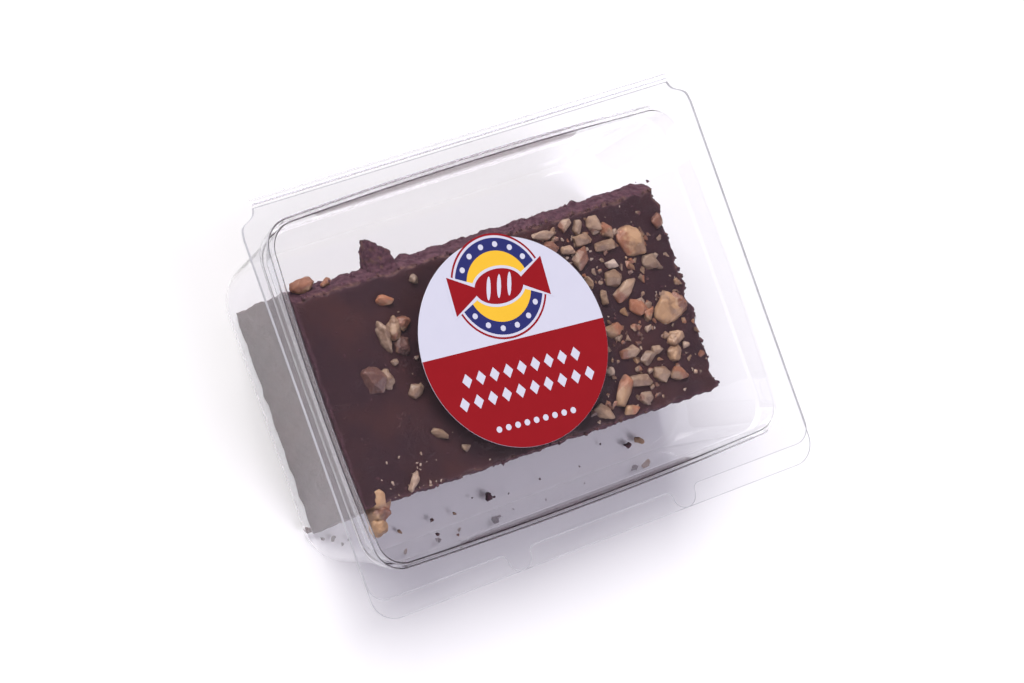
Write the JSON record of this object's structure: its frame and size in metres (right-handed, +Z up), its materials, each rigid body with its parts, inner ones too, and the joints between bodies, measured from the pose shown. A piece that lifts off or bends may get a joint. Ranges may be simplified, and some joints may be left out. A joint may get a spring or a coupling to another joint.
{
  "type": "chocolate pecan fudge in a clear hinged pack",
  "caption": "Cut slab of chocolate fudge topped with pecan pieces, shut in a clear plastic clamshell with a recessed lid, a back hinge, front pull tabs and a round label.",
  "frame": {"origin": "middle of the tub's flat underside", "axes": "+Z up from the underside to the lid, +X along the pack's long side, +Y from the front pull tabs to the hinge at the back"},
  "size_m": [0.1274, 0.1012, 0.0412],
  "materials": {
    "clear_plastic": "clear thin polyester sheet",
    "label_paper": "glossy printed paper, white above and red below",
    "fudge": "dark chocolate fudge, smooth top and crumbly cut sides",
    "pecan": "broken pecan, tan flesh with reddish brown skin"
  },
  "bodies": {
    "tub": {"tub": "clear_plastic", "fudge": "fudge", "splinter": "fudge", "pecan_1": "pecan", "pecan_2": "pecan", "pecan_3": "pecan", "pecan_4": "pecan", "pecan_5": "pecan", "pecan_6": "pecan"},
    "lid": {"lid": "clear_plastic", "label": "label_paper"}
  },
  "joints": [
    {"name": "lid_hinge", "type": "hinge", "parent": "tub", "child": "lid", "pos_m": [0, 0.048, 0.04035], "axis": [-1, 0, 0], "range_deg": [0, 180]}
  ]
}
